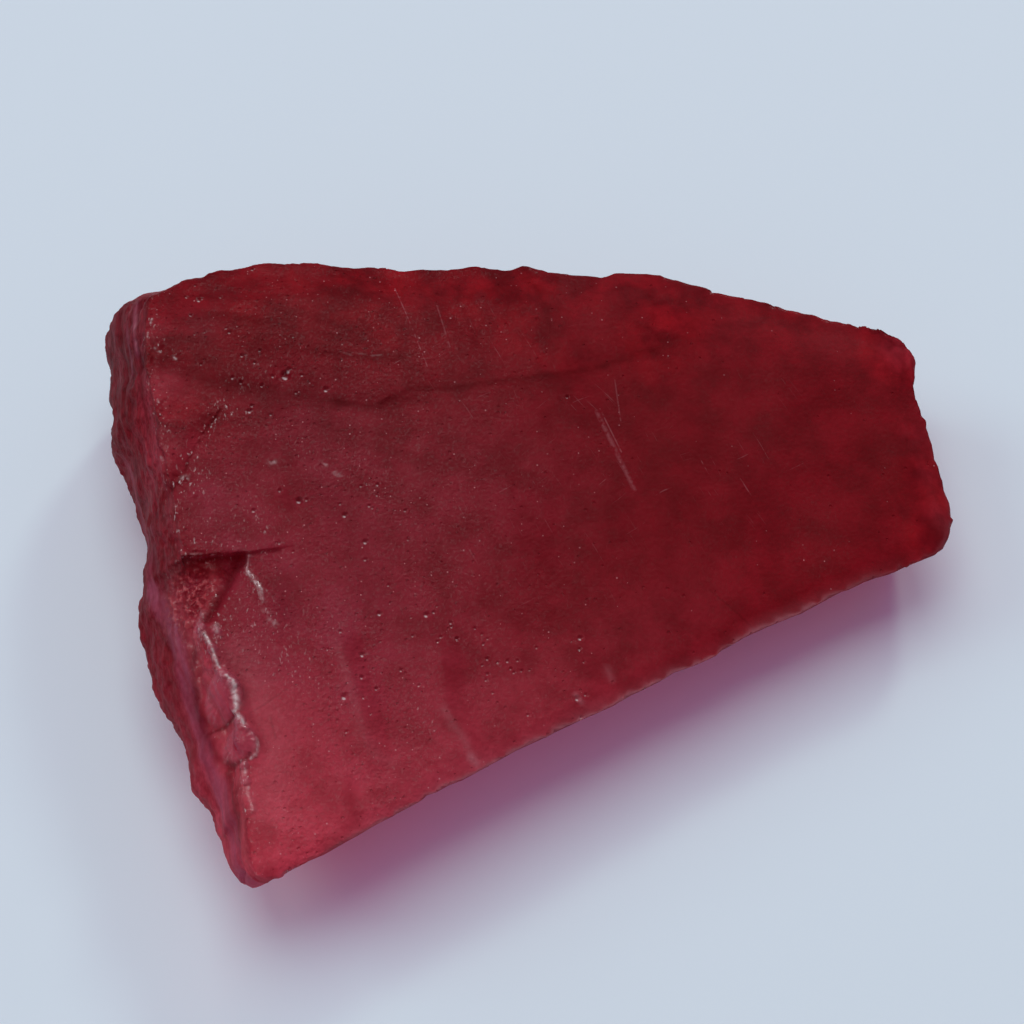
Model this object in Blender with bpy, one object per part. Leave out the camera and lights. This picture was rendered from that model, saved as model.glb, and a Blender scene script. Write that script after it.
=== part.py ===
"""Rough ruby: one broken slab of red corundum, about 50 mm across.

The slab lies on a flat foot. Its broad top face is nearly flat and leans down towards
the front and the right. The left side is a rough broken face that flares outwards, the
front side cuts in under the top like a hull, and the back and right sides are steep.
Modelled in millimetres, then moved so that the origin is at the bottom middle of its
box, and scaled to metres. X runs to the right, Y to the back and Z up.
"""

from math import atan2, degrees, exp, hypot, pi, radians, sin

import bmesh
import bpy
from mathutils import Vector, noise

METRES_PER_MM = 0.001

# Driving dimensions, in millimetres
THICKNESS_AT_MIDDLE = 8.3  # height of the top face above the foot, below the origin's Z axis
LEAN_TO_RIGHT = 0.114  # fall of the top face per millimetre towards +X
LEAN_TO_FRONT = 0.110  # fall of the top face per millimetre towards -Y
CELL = 0.75  # spacing of the cuts that divide the top face
STATION_STEP = 0.9  # longest spacing of the upright columns round the sides
RIM_ROUNDING = 0.35  # width of the worn edge round the top face
WELD = 0.16  # corners closer than this become one

# The rim of the top face, seen from above, anticlockwise from the tip nearest the viewer
FRONT_EDGE = (
    (-14.2, -23.3), (-13.2, -22.8), (-10.7, -21.0), (-7.0, -18.6), (-2.7, -16.0),
    (1.6, -13.4), (3.9, -12.2), (7.3, -10.1), (9.6, -8.9), (13.0, -6.7), (14.8, -5.8),
    (17.2, -4.3), (21.3, -2.3), (22.9, -1.5), (24.3, -0.7),
)
RIGHT_END = (
    (24.95, 0.7), (24.7, 2.2), (23.8, 5.8), (23.5, 7.1), (23.15, 8.5), (23.2, 11.9),
)
BACK_EDGE = (
    (22.7, 13.1), (21.3, 13.8), (18.1, 14.3), (14.0, 15.2), (9.8, 16.2), (8.0, 16.5),
    (5.4, 16.5), (3.1, 16.35), (0.7, 16.6), (-1.4, 16.5),
    (-3.8, 16.4), (-6.0, 15.9), (-9.6, 15.7), (-12.0, 15.7), (-15.2, 15.6),
    (-17.3, 15.2), (-19.0, 14.5), (-20.9, 13.6),
)
LEFT_RIDGE = (
    (-22.1, 12.4), (-22.3, 10.8), (-21.9, 6.8), (-21.1, 3.6), (-20.5, 1.0),
    (-19.9, -2.0), (-19.3, -4.3), (-18.8, -6.3), (-18.2, -8.4), (-17.4, -9.9),
    (-16.8, -12.0), (-15.9, -13.3), (-15.6, -15.2), (-15.5, -17.9), (-15.0, -21.2),
    (-14.8, -22.8),
)

# How far the belly and the foot stand outside the rim, by bearing round the middle.
# The belly is the widest level of a side, about half way down.
BEARING_CENTRE = (0.0, 1.0)
BELLY_DEPTH = 0.52  # share of the height
SIDES = (  # bearing in degrees, belly, foot
    (0.0, -1.8, -4.0),
    (4.0, -0.5, -2.6),
    (12.0, 0.2, -2.0),
    (30.0, 0.3, -1.8),
    (60.0, 0.2, -2.2),
    (90.0, 0.4, -1.8),
    (132.0, 0.8, -1.2),
    (140.0, 1.8, 0.4),
    (147.0, 3.8, 1.8),
    (152.0, 3.8, 2.4),
    (158.0, 3.2, 2.2),
    (168.0, 2.9, 2.0),
    (180.0, 2.3, 1.6),
    (190.0, 2.5, 1.0),
    (197.0, 3.5, 0.8),
    (204.0, 3.3, 0.4),
    (214.0, 3.5, -0.8),
    (222.0, 3.7, -2.6),
    (228.0, 2.8, -4.4),
    (233.0, 1.9, -6.2),
    (236.0, 1.2, -7.8),
    (238.5, -2.4, -9.8),
    (241.5, -5.6, -11.0),
    (252.0, -5.2, -10.2),
    (275.0, -3.3, -7.0),
    (305.0, -2.9, -6.0),
    (335.0, -3.0, -6.0),
    (352.0, -3.2, -6.0),
    (357.0, -2.6, -5.2),
    (360.0, -1.8, -4.0),
)
SIDE_LEVELS = (0.10, 0.22, 0.36, BELLY_DEPTH, 0.67, 0.81, 0.92, 1.0)  # shares of the height

# Scallops of the rim: small bites where the edge has chipped
SCALLOP_DEPTH = 0.16
SCALLOP_LENGTH = 1.9
RIDGE_CHIP_DEPTH = 0.30  # the ridge above the broken left face is more ragged

# Relief of the top face
SWELL_HEIGHT = 0.22
SWELL_LENGTH = 11.0
BACK_ROLL_DROP = 0.55  # the top face rolls down towards the back edge
BACK_ROLL_WIDTH = 5.0
END_ROLL_DROP = 0.45
END_ROLL_WIDTH = 2.6
FRONT_ROLL_DROP = 0.22
FRONT_ROLL_WIDTH = 1.4

# The ledge: a step across the left of the top face, and the hollow below it
LEDGE = ((-20.4, -4.4), (-17.6, -4.0), (-15.6, -3.9), (-12.6, -3.1))
LEDGE_DROP = 0.55
LEDGE_FADE = 2.6  # how far in front of the ledge the drop dies away
HOLLOW = ((-19.9, -4.7), (-15.9, -4.4), (-18.6, -8.9))
HOLLOW_DEPTH = 0.75

# Low ridges that stand up from the top face: points along each, height and half width
RIDGES = (
    (((-18.0, -8.6), (-17.2, -10.1), (-16.6, -11.6), (-15.8, -13.2), (-15.3, -15.4)), 0.38, 0.55),
    (((-15.5, -4.3), (-14.7, -6.2), (-14.3, -8.0)), 0.24, 0.60),
    (((-10.6, -9.0), (-9.6, -12.0), (-8.6, -15.6)), 0.20, 0.80),
    (((-4.9, -9.8), (-4.8, -12.0), (-3.5, -14.4)), 0.16, 0.75),
)
# Shallow troughs, the same way: the two curved marks that cross the back left, and two dips
TROUGHS = (
    (((-21.6, 8.1), (-19.0, 6.7), (-13.8, 6.3), (-7.5, 6.3), (-4.5, 7.9)), 0.12, 0.90),
    (((-18.2, 4.4), (-19.4, 1.2), (-20.3, 0.0)), 0.22, 0.50),
    (((-7.9, -14.0), (-8.0, -14.9)), 0.22, 0.90),
    (((-9.8, -16.0), (-9.2, -16.9)), 0.20, 0.85),
)
# The pits wide enough to see from a step away: x, y, depth and radius
PITS = (
    (-14.2, 7.7, 0.30, 0.55),
    (-13.1, -0.3, 0.25, 0.50),
    (-16.3, -12.9, 0.30, 0.55),
    (-9.2, -9.6, 0.20, 0.50),
)

# Roughness of the sides
SIDE_LUMP_HEIGHT = 0.42
SIDE_LUMP_LENGTH = 4.6
BITE_DEPTH = 1.5  # shell-shaped hollows where flakes have broken off the sides
BITE_LENGTH = 6.0
BROKEN_FACE = (150.0, 238.0)  # bearings between which the left side is broken and lumpy
BROKEN_LUMP_HEIGHT = 0.62
BROKEN_LUMP_LENGTH = 2.3
CALM_SHARE = 0.45  # how lumpy the other sides are beside it
NICKS = (  # bites in a side: x, y and height of the middle, depth and half width
    (-22.4, -1.9, 5.0, 0.55, 1.2),
    (-1.4, 16.5, 10.2, 0.60, 0.55),
    (23.2, 10.2, 6.6, 0.30, 0.90),
)


def top_height(x, y):
    """Height of the plain top plane over a point."""
    return THICKNESS_AT_MIDDLE - LEAN_TO_RIGHT * x + LEAN_TO_FRONT * y


def bearing(x, y):
    """Direction of a point from the middle of the stone, in degrees from 0 to 360."""
    return degrees(atan2(y - BEARING_CENTRE[1], x - BEARING_CENTRE[0])) % 360.0


def outward(x, y):
    """Level unit vector that points away from the middle of the stone."""
    return Vector((x - BEARING_CENTRE[0], y - BEARING_CENTRE[1], 0.0)).normalized()


def ease(share):
    """Smooth step from 0 to 1."""
    share = min(1.0, max(0.0, share))
    return share * share * (3.0 - 2.0 * share)


def side_offsets(angle):
    """Belly and foot offsets at a bearing, eased between the rows of SIDES."""
    for (a, belly_a, foot_a), (b, belly_b, foot_b) in zip(SIDES, SIDES[1:]):
        if a <= angle <= b:
            share = ease((angle - a) / (b - a))
            return belly_a + (belly_b - belly_a) * share, foot_a + (foot_b - foot_a) * share
    return SIDES[0][1:]


def offset_at_level(angle, level):
    """How far a side stands outside the rim at a share of the height below it."""
    belly, foot = side_offsets(angle)
    if level <= BELLY_DEPTH:
        share = level / BELLY_DEPTH
        bulge = sin(share * pi / 2) if belly > 0 else share
        return belly * bulge
    return belly + (foot - belly) * ((level - BELLY_DEPTH) / (1.0 - BELLY_DEPTH))


def on_broken_face(angle):
    """1 in the middle of the broken left side, easing to 0 on the other sides."""
    start, end = BROKEN_FACE
    return ease((angle - start) / 8.0) * ease((end - angle) / 6.0)


def spline_point(a, b, c, d, share):
    """Point of a Catmull-Rom curve between b and c."""
    s2, s3 = share * share, share * share * share
    return tuple(
        0.5 * (2 * q + (r - p) * share + (2 * p - 5 * q + 4 * r - s) * s2 + (3 * q - p - 3 * r + s) * s3)
        for p, q, r, s in zip(a, b, c, d)
    )


def rim_points():
    """The rim as evenly spaced points on a curve through the outline, with its scallops."""
    outline = FRONT_EDGE + RIGHT_END + BACK_EDGE + LEFT_RIDGE
    count = len(outline)
    points = []
    for i in range(count):
        a, b, c, d = (outline[(i + k) % count] for k in (-1, 0, 1, 2))
        steps = max(1, round(hypot(c[0] - b[0], c[1] - b[1]) / STATION_STEP))
        points += [spline_point(a, b, c, d, k / steps) for k in range(steps)]
    rim = []
    for x, y in points:
        ragged = on_broken_face(bearing(x, y))
        depth = SCALLOP_DEPTH + (RIDGE_CHIP_DEPTH - SCALLOP_DEPTH) * ragged
        bite = noise.noise(Vector((x, y, 4.0)) / SCALLOP_LENGTH)
        rim.append(Vector((x, y, 0.0)) + outward(x, y) * bite * depth)
    return rim


def distance_to_path(x, y, path):
    """Distance from a point to a line through several points, and its signed side."""
    best, side = 1e9, 0.0
    for (ax, ay), (bx, by) in zip(path, path[1:]):
        dx, dy = bx - ax, by - ay
        share = min(1.0, max(0.0, ((x - ax) * dx + (y - ay) * dy) / (dx * dx + dy * dy)))
        gap = hypot(x - ax - share * dx, y - ay - share * dy)
        if gap < best:
            best = gap
            side = dx * (y - ay) - dy * (x - ax)
    return best, side


def in_hollow(x, y):
    """Depth share of the three-sided hollow: 0 on its edges, rising inside."""
    reach = []
    for (ax, ay), (bx, by) in zip(HOLLOW, HOLLOW[1:] + HOLLOW[:1]):
        length = hypot(bx - ax, by - ay)
        reach.append(((y - ay) * (bx - ax) - (x - ax) * (by - ay)) / length)
    return ease(min(-r for r in reach) / 0.9)


def ledge_drop(x, y):
    """How far the surface in front of the ledge lies below the one behind it."""
    gap, side = distance_to_path(x, y, LEDGE)
    if side > 0.0 or x < LEDGE[0][0] - 1.0:
        return 0.0
    run_out = ease((LEDGE[-1][0] + 0.4 - x) / 4.0)
    return LEDGE_DROP * run_out * ease(gap / 0.35) * exp(-gap / LEDGE_FADE)


def rim_roll(x, y):
    """Drop of the top face towards the back, right and front edges."""
    drop = 0.0
    for edge, most, width in (
        (BACK_EDGE, BACK_ROLL_DROP, BACK_ROLL_WIDTH),
        (RIGHT_END, END_ROLL_DROP, END_ROLL_WIDTH),
        (FRONT_EDGE, FRONT_ROLL_DROP, FRONT_ROLL_WIDTH),
    ):
        gap, _ = distance_to_path(x, y, edge)
        drop = max(drop, most * (1.0 - ease(gap / width)) ** 2)
    return drop


def top_relief(x, y):
    """Height of the worn top face above its plain plane."""
    swell = noise.fractal(Vector((x, y, 11.0)) / SWELL_LENGTH, 1.0, 2.0, 3)
    relief = SWELL_HEIGHT * swell - rim_roll(x, y) - ledge_drop(x, y)
    relief -= HOLLOW_DEPTH * in_hollow(x, y)
    for path, height, half_width in RIDGES:
        gap, _ = distance_to_path(x, y, path)
        relief += height * exp(-((gap / half_width) ** 2))
    for path, depth, half_width in TROUGHS:
        gap, _ = distance_to_path(x, y, path)
        relief -= depth * exp(-((gap / half_width) ** 2))
    for px, py, depth, radius in PITS:
        relief -= depth * exp(-((hypot(x - px, y - py) / radius) ** 2))
    return relief


def rim_nick(point):
    """How far the nicks push a point in, as a negative number."""
    push = 0.0
    for x, y, z, depth, half_width in NICKS:
        gap = (point - Vector((x, y, z))).length
        push -= depth * exp(-((gap / half_width) ** 2))
    return push


def side_relief(point):
    """How far a point on a side stands out from its plain surface."""
    ragged = on_broken_face(bearing(point.x, point.y))
    lumps = noise.noise(point / SIDE_LUMP_LENGTH) * SIDE_LUMP_HEIGHT
    broken = noise.ridged_multi_fractal(point / BROKEN_LUMP_LENGTH, 1.0, 2.0, 3, 1.0, 1.6)
    share = CALM_SHARE + (1.0 - CALM_SHARE) * ragged
    relief = lumps + (broken - 1.0) * BROKEN_LUMP_HEIGHT * share
    to_flake = noise.voronoi(point / BITE_LENGTH)[0][0]
    relief -= BITE_DEPTH * (1.0 - ragged) * max(0.0, 0.75 - to_flake)
    return relief + rim_nick(point)


def build_block(bm):
    """Loft the plain block: the top face, the sides down through their levels, the foot."""
    rim = rim_points()
    above = [bm.verts.new((p.x, p.y, top_height(p.x, p.y))) for p in rim]
    top = bm.faces.new(above)
    rim_edges = list(top.edges)
    for level in SIDE_LEVELS:
        ring = []
        for p in rim:
            place = p + outward(p.x, p.y) * offset_at_level(bearing(p.x, p.y), level)
            place.z = top_height(p.x, p.y) * (1.0 - level)
            ring.append(bm.verts.new(place))
        for i, vert in enumerate(ring):
            bm.faces.new((above[i - 1], above[i], vert, ring[i - 1])[::-1])
        above = ring
    bm.faces.new(above[::-1])
    return top, rim_edges


def divide_top(bm, top_faces):
    """Cut the top face into square cells, along lines of constant X and Y."""
    for axis in (0, 1):
        normal = Vector((1.0 - axis, float(axis), 0.0))
        values = [v.co[axis] for f in top_faces for v in f.verts]
        line = CELL * int(min(values) / CELL)
        while line < max(values):
            parts = set(top_faces)
            parts.update(e for f in top_faces for e in f.edges)
            parts.update(v for f in top_faces for v in f.verts)
            cut = bmesh.ops.bisect_plane(
                bm, geom=list(parts), dist=1e-4, plane_co=normal * line, plane_no=normal
            )
            top_faces = [g for g in cut["geom"] if isinstance(g, bmesh.types.BMFace)]
            line += CELL
    return top_faces


def build_ruby():
    """Model the whole stone as one closed mesh, in millimetres."""
    bm = bmesh.new()
    _, rim_edges = build_block(bm)
    bmesh.ops.bevel(
        bm, geom=rim_edges, offset=RIM_ROUNDING, segments=1, profile=0.5, affect="EDGES"
    )
    bm.normal_update()
    broad = max((f for f in bm.faces if f.normal.z > 0.9), key=lambda f: f.calc_area())
    divide_top(bm, [broad])

    bm.normal_update()
    moves = []
    for vert in bm.verts:
        x, y, z = vert.co
        below_top = top_height(x, y) - z
        if below_top < RIM_ROUNDING:
            bite = outward(x, y) * rim_nick(vert.co)
            moves.append(bite + Vector((0.0, 0.0, top_relief(x, y))))
        elif z > WELD:
            follow_top = top_relief(x, y) * (z / top_height(x, y)) ** 2
            upright = ease(z / 1.5)
            push = outward(x, y) * side_relief(vert.co) * upright
            moves.append(push + Vector((0.0, 0.0, follow_top)))
        else:
            moves.append(Vector())
    for vert, move in zip(bm.verts, moves):
        vert.co += move

    bmesh.ops.remove_doubles(bm, verts=bm.verts, dist=WELD)
    bmesh.ops.triangulate(bm, faces=bm.faces)
    bmesh.ops.recalc_face_normals(bm, faces=bm.faces)
    return bm


def centre_on_origin(bm):
    """Move the stone so that the origin is at the bottom middle of its box."""
    for axis in (0, 1):
        places = [v.co[axis] for v in bm.verts]
        middle = 0.5 * (min(places) + max(places))
        for vert in bm.verts:
            vert.co[axis] -= middle


def ruby_material():
    """Deep red, waxy and a little see-through."""
    material = bpy.data.materials.new("ruby")
    material.use_nodes = True
    shader = material.node_tree.nodes["Principled BSDF"]
    shader.inputs["Base Color"].default_value = (0.26, 0.012, 0.022, 1.0)
    shader.inputs["Roughness"].default_value = 0.38
    shader.inputs["Metallic"].default_value = 0.0
    shader.inputs["IOR"].default_value = 1.76
    shader.inputs["Transmission Weight"].default_value = 0.3
    return material


def main():
    for old in list(bpy.data.objects):
        bpy.data.objects.remove(old, do_unlink=True)
    bm = build_ruby()
    centre_on_origin(bm)
    bmesh.ops.scale(bm, vec=Vector((METRES_PER_MM,) * 3), verts=bm.verts)
    mesh = bpy.data.meshes.new("rough_ruby")
    bm.to_mesh(mesh)
    bm.free()
    mesh.materials.append(ruby_material())
    mesh.shade_smooth()
    mesh.set_sharp_from_angle(angle=radians(38.0))
    ruby = bpy.data.objects.new("rough_ruby", mesh)
    bpy.context.scene.collection.objects.link(ruby)


main()
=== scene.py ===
"""A rough ruby on a pale table: the fine surface, the finish, the light and the camera."""
import logging
import math
from collections.abc import Callable, Iterable
from dataclasses import dataclass, field
from enum import Enum

import bpy
import numpy as np
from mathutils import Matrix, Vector, noise


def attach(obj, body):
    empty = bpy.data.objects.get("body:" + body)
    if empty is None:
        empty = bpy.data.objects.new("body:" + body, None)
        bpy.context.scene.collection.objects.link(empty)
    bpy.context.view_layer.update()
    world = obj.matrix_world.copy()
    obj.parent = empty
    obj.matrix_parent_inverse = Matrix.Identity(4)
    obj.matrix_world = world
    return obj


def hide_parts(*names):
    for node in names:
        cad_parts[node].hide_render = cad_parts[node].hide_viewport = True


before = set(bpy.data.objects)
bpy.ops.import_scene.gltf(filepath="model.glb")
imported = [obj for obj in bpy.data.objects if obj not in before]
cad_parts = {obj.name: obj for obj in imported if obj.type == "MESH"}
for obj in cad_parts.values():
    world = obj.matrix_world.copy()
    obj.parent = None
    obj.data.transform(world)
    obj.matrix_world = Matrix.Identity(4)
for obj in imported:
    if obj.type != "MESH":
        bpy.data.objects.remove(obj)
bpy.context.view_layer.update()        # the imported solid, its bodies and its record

MM = 0.001
LOG = logging.getLogger("rough_ruby")

Array = np.ndarray
Socket = bpy.types.NodeSocket
Spot = tuple[float, ...]
Colour = tuple[float, float, float]
EVEN = (1.0, 1.0, 1.0)
ORIGIN = (0.0, 0.0, 0.0)


def unit(values: Array) -> Array:
    """Keeps the values from 0 to 1."""
    return np.clip(values, 0.0, 1.0)


def read_rows(items: bpy.types.bpy_prop_collection, name: str) -> Array:
    """Reads one vector of each of a mesh's points or faces.

    Args:
        items: The points or faces.
        name: The vector's name in Blender.

    Returns:
        The vectors, one to a row.
    """
    values = np.zeros(len(items) * 3)
    items.foreach_get(name, values)
    return values.reshape(-1, 3)


def ease(low: float, high: float, value: Array) -> Array:
    """Rises smoothly from 0, where the value is low, to 1, where it is high."""
    share = unit((value - low) / (high - low))
    return share * share * (3.0 - 2.0 * share)


def rough(points: Array, size: float, octaves: int = 3, stretch: Spot = EVEN,
          offset: float = 0.0) -> Array:
    """Reads an even, lumpy noise of about -1 to 1. Points and size are in millimetres."""
    places = points / (size * np.array(stretch)) + offset
    return np.array([noise.fractal(p, 1.0, 2.0, octaves) for p in places.tolist()])


def flakes(points: Array, size: float, stretch: Spot = EVEN, offset: float = 0.0) -> Array:
    """Reads shallow shells, as flakes leave them: 0 in a shell and about 1 on the edges between them."""
    places = points / (size * np.array(stretch)) + offset
    return np.array([noise.voronoi(p)[0][0] for p in places.tolist()])


def shells(points: Array, size: float, offset: float = 0.0) -> tuple[Array, Array]:
    """Reads a pattern of uneven patches, each with a tone of its own.

    Args:
        points: Places in millimetres, one to a row.
        size: The distance from one patch to the next, in millimetres.
        offset: Moves the pattern, so that two uses differ.

    Returns:
        The tone of the patch that each point is in, and how close the point is to a seam, from 0 to 1.
    """
    places = points / size + offset
    places += 0.25 * np.column_stack([rough(points, 0.8 * size, 2, offset=k) for k in (1.3, 5.7, 9.1)])
    tones = []
    seams = []
    for place in places.tolist():
        away, middles = noise.voronoi(place)
        tones.append(noise.noise(middles[0] * 3.7) + 0.5)
        seams.append(away[1] - away[0])
    return unit(np.array(tones)), 1.0 - ease(0.0, 0.25, np.array(seams))


def dome(away: Array, power: float) -> Array:
    """Gives a dome's height: 1 in the middle and 0 past its edge, which a low power makes steep."""
    return np.clip(1.0 - away ** 2, 0.0, None) ** power


@dataclass(frozen=True)
class Round:
    """A round mark on the stone, seen from above. Sizes are in millimetres."""

    x: float
    y: float
    radius: float = 0.2

    def away(self, places: Array) -> Array:
        """Gives each place's distance from the middle, as a share of the mark's radius."""
        return np.hypot(places[:, 0] - self.x, places[:, 1] - self.y) / self.radius


@dataclass(frozen=True)
class Pit(Round):
    """A pit in the worn face, with a low lip around it."""

    depth: float = 0.12
    lip: float = 0.012

    def relief(self, places: Array) -> Array:
        """Gives heights in millimetres: below zero in the pit and above zero on its lip."""
        lip = self.lip * np.exp(-((self.away(places) - 1.15) / 0.3) ** 2)
        return lip - self.depth * dome(self.away(places), 1.5)

    def wet(self, places: Array) -> Array:
        """Gives the gloss of the pit's smooth floor, and 0 outside it."""
        return 0.25 * (1.0 - ease(0.8, 1.15, self.away(places)))

    def glint(self, places: Array) -> Array:
        """Gives 1 on the small highlight low in the pit, on its near left side, and 0 elsewhere."""
        offset = (places[:, :2] - (self.x, self.y)) / self.radius + (0.30, 0.35)
        return 1.0 - ease(0.14, 0.54, np.hypot(offset[:, 0], offset[:, 1]))


@dataclass(frozen=True)
class Bead(Round):
    """A smooth, wet-looking lump on the broken rim."""

    height: float = 0.1
    stretch: float = 1.0

    def away(self, places: Array) -> Array:
        """Gives each place's distance from the middle of a lump that is longer along Y."""
        along = (places[:, 1] - self.y) / self.stretch
        return np.hypot(places[:, 0] - self.x, along) / self.radius

    def turn(self, places: Array) -> Array:
        """Gives the direction in which each place lies from the middle, in radians."""
        return np.arctan2(places[:, 1] - self.y, places[:, 0] - self.x)

    def relief(self, places: Array) -> Array:
        """Gives the height of a steep-edged, lightly ribbed dome, in millimetres."""
        ribs = 1.0 + 0.16 * unit(self.away(places)) ** 2 * np.cos(13.0 * self.turn(places))
        return self.height * ribs * dome(self.away(places), 0.7)

    def hem(self, places: Array) -> Array:
        """Gives 1 in a band of painted shade around the lump's lower right side, and 0 elsewhere."""
        lower_right = ease(-0.5, 0.6, np.cos(self.turn(places) + 0.9))
        return np.exp(-((self.away(places) - 1.05) / 0.14) ** 2) * lower_right


@dataclass(frozen=True)
class Patch(Round):
    """A soft round area of the worn face."""

    strength: float = 1.0

    def effect(self, places: Array) -> Array:
        """Gives the patch's strength at its middle, falling to 0 at about its radius."""
        return self.strength * np.exp(-1.5 * self.away(places) ** 2)


@dataclass(frozen=True)
class Trace:
    """A mark that follows a bent line over the stone. Sizes are in millimetres."""

    points: tuple[Spot, ...]
    width: float
    height: float = 0.0

    def distance(self, places: Array) -> Array:
        """Gives each place's distance from the line, in millimetres.

        Args:
            places: Places in millimetres, one to a row. A line given by X and Y ignores their Z.

        Returns:
            The distances, one for each place.
        """
        plan = places[:, :len(self.points[0])]
        nearest = np.full(len(plan), np.inf)
        for start, end in zip(self.points, self.points[1:]):
            a = np.array(start)
            along = np.array(end) - a
            share = unit((plan - a) @ along / (along @ along))
            nearest = np.minimum(nearest, np.linalg.norm(plan - a - share[:, None] * along, axis=1))
        return nearest

    def mask(self, places: Array) -> Array:
        """Gives 1 on the line, falling to 0 about a width away from it."""
        return np.exp(-(self.distance(places) / self.width) ** 2)

    def effect(self, places: Array) -> Array:
        """Gives the line's height, or its strength, on the line, falling to 0 beside it."""
        return self.height * self.mask(places)


def patches(*rows: Spot) -> tuple[Patch, ...]:
    """Makes soft areas from rows of X, Y, radius and strength."""
    return tuple(Patch(*row) for row in rows)


def traces(*rows: tuple) -> tuple[Trace, ...]:
    """Makes lines from rows that give a width, a height or strength, and then the points."""
    return tuple(Trace(tuple(points), width, height) for width, height, *points in rows)


def total(marks: Iterable[Patch | Trace], places: Array) -> Array:
    """Adds up the effects of several marks at each place."""
    return sum(mark.effect(places) for mark in marks)


class Side(Enum):
    """The stone's sides, by the compass angles that they face, in degrees from +Y towards +X."""

    BREAK = (-150.0, -45.0)
    BACK = (-45.0, 40.0)
    END = (40.0, 115.0)
    FRONT = (115.0, 210.0)


class Mark(Enum):
    """The painted areas that the finish reads, each a value at every point of the mesh."""

    # Some areas hold painted light: the glow through thin parts, part of the clear areas, the sheens, the
    # shade, the edge highlights, the glints and the sparkles.
    GLOW = "glow"
    CLEAR = "clear"
    VEIL = "veil"
    MAUVE = "mauve"
    LAYERED = "layered"
    SCUFFED = "scuffed"
    SHADE = "shade"
    CRUMB = "crumb"
    PITTED = "pitted"
    GLOSS = "gloss"
    RIM = "rim"
    GLINT = "glint"
    SPARKLE = "sparkle"


@dataclass(frozen=True)
class RubyFinish:
    """The ruby's colours, gloss and depth. The grain's depth is in metres."""

    deep: Colour = (0.235, 0.0045, 0.012)
    light: Colour = (0.33, 0.0065, 0.018)
    # The stone's clearer mottled red, also used as painted light where light would shine through the thin
    # back and end.
    clear: Colour = (0.49, 0.011, 0.022)
    # A red for painted glow, where light would shine through thin parts.
    glow_red: Colour = (0.76, 0.080, 0.135)
    # The tint of a painted sheen, as a soft reflection of a lamp would give.
    painted_sheen_tint: Colour = (0.41, 0.036, 0.072)
    # The purplish colour of a painted sheen on the broken side.
    mauve: Colour = (0.50, 0.090, 0.170)
    crumb: Colour = (0.68, 0.085, 0.11)
    # Painted shade; the real cracks take this colour too.
    shade: Colour = (0.42, 0.20, 0.26)
    grain: Colour = (0.90, 0.82, 0.84)
    fibre: Colour = (0.68, 0.52, 0.58)
    # Real scratches, and painted highlights on edges, crests and swells.
    scuff: Colour = (0.75, 0.28, 0.34)
    speck: Colour = (0.90, 0.42, 0.48)
    glint: Colour = (1.0, 0.84, 0.87)
    clarity: float = 0.5
    refraction: float = 1.76
    gloss_tint: Colour = (0.03, 0.03, 0.03)
    roughness: float = 0.52
    wet_roughness: float = 0.18
    film: float = 0.004
    grain_strength: float = 0.9
    grain_depth: float = 0.085 * MM
    depth_colour: Colour = (0.80, 0.06, 0.12)
    depth_density: float = 150.0
    shadow_tint: Colour = (0.545, 0.185, 0.50)


class Nodes:
    """A short way to write the nodes of one material or node group."""

    def __init__(self, tree: bpy.types.NodeTree) -> None:
        """Starts to write in a node tree."""
        self.tree = tree

    def add(self, kind: str, inputs: dict[str | int, object] | None = None,
            **settings: object) -> bpy.types.Node:
        """Adds a node.

        Args:
            kind: The node's type, without the leading word ShaderNode.
            inputs: Values, or sockets to link, for the node's inputs, by name or number.
            **settings: Values for the node's own settings.

        Returns:
            The new node.
        """
        node = self.tree.nodes.new("ShaderNode" + kind)
        for name, value in settings.items():
            setattr(node, name, value)
        for name, value in (inputs or {}).items():
            if isinstance(value, Socket):
                self.tree.links.new(value, node.inputs[name])
            else:
                node.inputs[name].default_value = value
        return node

    def math(self, kind: str, *values: object, clamp: bool = False) -> Socket:
        """Adds a Math node of this operation for numbers or sockets, and returns its output."""
        return self.add("Math", dict(enumerate(values)), operation=kind, use_clamp=clamp).outputs[0]

    def vector(self, kind: str, first: object, second: object) -> bpy.types.Node:
        """Adds a Vector Math node of this operation."""
        return self.add("VectorMath", {0: first, 1: second}, operation=kind)

    def blend(self, share: object, first: object, second: object,
              kind: str = "MIX") -> Socket:
        """Mixes two colours.

        Args:
            share: How much of the second colour shows.
            first: The colour, or a socket, at share 0.
            second: The colour, or a socket, at share 1.
            kind: How the second colour is laid over the first.

        Returns:
            The mixed colour's socket.
        """
        base, over = ((*c, 1.0) if isinstance(c, tuple) else c for c in (first, second))
        mix = self.add("Mix", {0: share, 6: base, 7: over}, data_type="RGBA", blend_type=kind)
        return mix.outputs[2]

    def noise(self, place: object, size: float, detail: float = 2.0,
              kind: str = "3D") -> Socket:
        """Adds a noise with lumps of a real size in millimetres. Only the worn face shows a 2D one."""
        inputs = {"Vector": place, "Scale": 1.0 / (size * MM), "Detail": detail}
        return self.add("TexNoise", inputs, noise_dimensions=kind).outputs["Fac"]

    def between(self, value: object, low: object, high: object) -> Socket:
        """Spreads the values from low to high over 0 to 1, softly."""
        inputs = {"Value": value, "From Min": low, "From Max": high}
        return self.add("MapRange", inputs, interpolation_type="SMOOTHSTEP").outputs[0]

    def cells(self, place: object, size: float) -> tuple[Socket, bpy.types.Node]:
        """Adds a pattern of flat cells.

        Args:
            place: The socket of the place.
            size: The distance from one cell to the next, in millimetres.

        Returns:
            The distance from the nearest cell's middle, and a node with the cell's random colour, split.
        """
        inputs = {"Vector": place, "Scale": 1.0 / (size * MM)}
        cells = self.add("TexVoronoi", inputs, voronoi_dimensions="2D")
        return cells.outputs["Distance"], self.add("SeparateColor", {"Color": cells.outputs["Color"]})


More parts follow.
